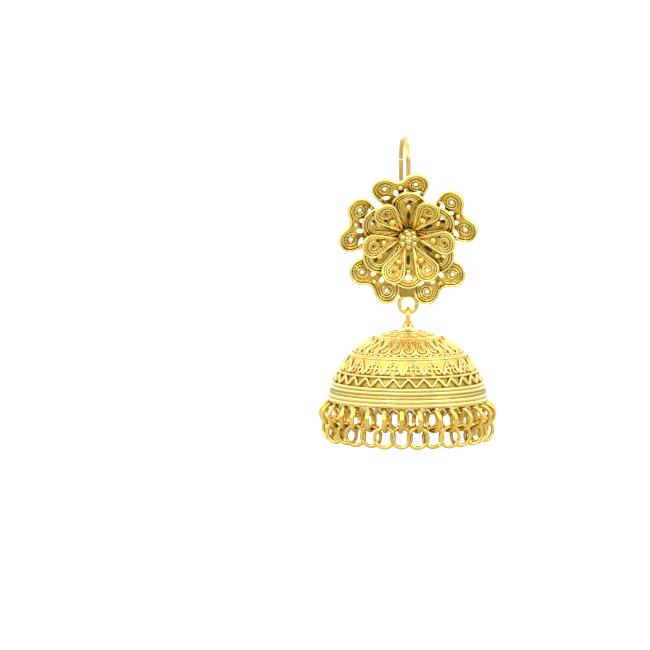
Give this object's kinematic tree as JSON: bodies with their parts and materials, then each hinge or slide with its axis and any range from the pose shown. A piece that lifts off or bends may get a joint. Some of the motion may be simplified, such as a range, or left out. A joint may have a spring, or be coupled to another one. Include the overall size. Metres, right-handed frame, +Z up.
{
  "type": "jhumka earring",
  "caption": "Gold jhumka earring: filigree flower on a lever-back ear wire, with a bell-shaped drop fringed with small rings.",
  "frame": {"origin": "the point under the ear wire's arch on which the earring hangs", "axes": "+Z up; the flower's face looks towards -Y and a little downwards; the ear wire loops back towards +Y; +X is to the right as seen from the front"},
  "size_m": [0.0299, 0.0298, 0.0507],
  "materials": {
    "hook_gold": "polished drawn gold wire, slightly redder than the rest",
    "flower_gold": "bright filigree gold, darker in its recesses",
    "ring_gold": "polished gold wire",
    "dome_gold": "bright yellow gold with soldered wire ornament"
  },
  "bodies": {
    "flower": {"ear_hook": "hook_gold", "hinge_pin": "hook_gold", "back_petals": "flower_gold", "middle_petals": "flower_gold", "top_petals": "flower_gold", "bead_cluster": "flower_gold"},
    "catch": {"lever": "hook_gold"},
    "link": {"link_ring": "ring_gold"},
    "drop": {"cap": "dome_gold", "dome": "dome_gold", "rim_band": "dome_gold", "upper_rings": "ring_gold", "lower_rings": "ring_gold"}
  },
  "joints": [
    {"name": "link_swing", "type": "hinge", "parent": "flower", "child": "link", "pos_m": [0.00053, -0.00292, -0.0285], "axis": [1, 0, 0], "range_deg": [-40, 40]},
    {"name": "drop_swing", "type": "hinge", "parent": "link", "child": "drop", "pos_m": [0.00053, -0.00292, -0.03052], "axis": [0, 1, 0], "range_deg": [-35, 35]},
    {"name": "catch_hinge", "type": "hinge", "parent": "flower", "child": "catch", "pos_m": [0.00021, 0.0016, -0.01809], "axis": [-0.9903, -0.1361, -0.0289], "range_deg": [0, 50]}
  ]
}
